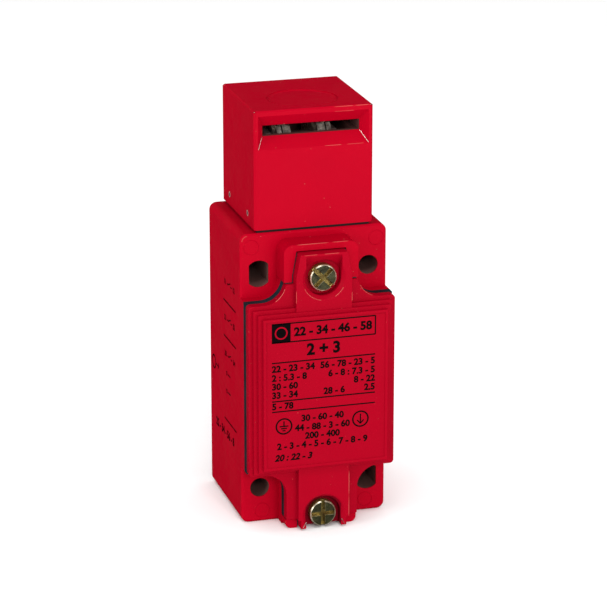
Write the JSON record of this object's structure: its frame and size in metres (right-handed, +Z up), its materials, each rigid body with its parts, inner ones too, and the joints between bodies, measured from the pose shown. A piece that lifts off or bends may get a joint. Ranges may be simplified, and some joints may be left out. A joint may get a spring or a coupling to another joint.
{
  "type": "tongue interlock switch",
  "caption": "Red wall-mounted safety interlock switch: hollow cast body with stepped front cover, and a square head with a tongue slot that drives a cam, plunger and contacts.",
  "frame": {"origin": "on the back mounting face, at the centre of the four fixing holes", "axes": "+Z up along the body towards the head, +Y into the wall, +X to the right seen from the front; the front faces -Y"},
  "size_m": [0.04, 0.044, 0.1135],
  "materials": {
    "body_enamel": "glossy red stoving enamel",
    "cover_enamel": "glossy red stoving enamel with black print",
    "head_enamel": "glossy red stoving enamel",
    "seal_rubber": "matte dark rubber",
    "zinc_steel": "yellow zinc plate",
    "bright_steel": "bright ground steel",
    "plunger_steel": "ground steel",
    "spring_steel": "spring wire",
    "brass": "satin",
    "cam_plastic": "natural acetal",
    "block_plastic": "black moulded thermoset",
    "lid_plastic": "grey moulded plastic",
    "carriage_plastic": "natural acetal"
  },
  "bodies": {
    "housing": {"body_casting": "body_enamel", "cover_gasket": "seal_rubber", "front_cover": "cover_enamel", "cover_screws": "zinc_steel", "head_casting": "head_enamel", "head_gasket": "seal_rubber", "head_pins": "bright_steel", "cam_carrier": "bright_steel", "cam_axle": "bright_steel", "plunger_bush": "brass", "plunger_seal": "seal_rubber", "plunger_spring": "spring_steel", "contact_block": "block_plastic", "contact_lid": "lid_plastic", "fixed_contacts": "brass", "terminal_clamps": "zinc_steel", "terminal_screws": "zinc_steel", "return_spring": "spring_steel", "block_screws": "zinc_steel", "earth_screw": "zinc_steel", "earth_washer": "zinc_steel"},
    "cam": {"lift_cam": "cam_plastic", "cam_wheels": "bright_steel"},
    "push_rod": {"plunger": "plunger_steel"},
    "carriage": {"contact_carriage": "carriage_plastic", "contact_bridges": "brass", "contact_springs": "spring_steel"}
  },
  "joints": [
    {"name": "cam_turn", "type": "hinge", "parent": "housing", "child": "cam", "pos_m": [0, -0.0161, 0.0602], "axis": [-1, 0, 0], "range_deg": [0, 60]},
    {"name": "plunger_slide", "type": "slide", "parent": "housing", "child": "push_rod", "axis": [0, 0, 1], "range_m": [0, 0.003], "deforming": ["plunger_spring"]},
    {"name": "carriage_slide", "type": "slide", "parent": "housing", "child": "carriage", "axis": [0, 0, 1], "range_m": [0, 0.003], "deforming": ["return_spring"]}
  ],
  "couplings": [
    {"joint": "plunger_slide", "follows": "cam_turn", "m_per_rad": 0.0028647},
    {"joint": "carriage_slide", "follows": "cam_turn", "m_per_rad": 0.0028647}
  ]
}
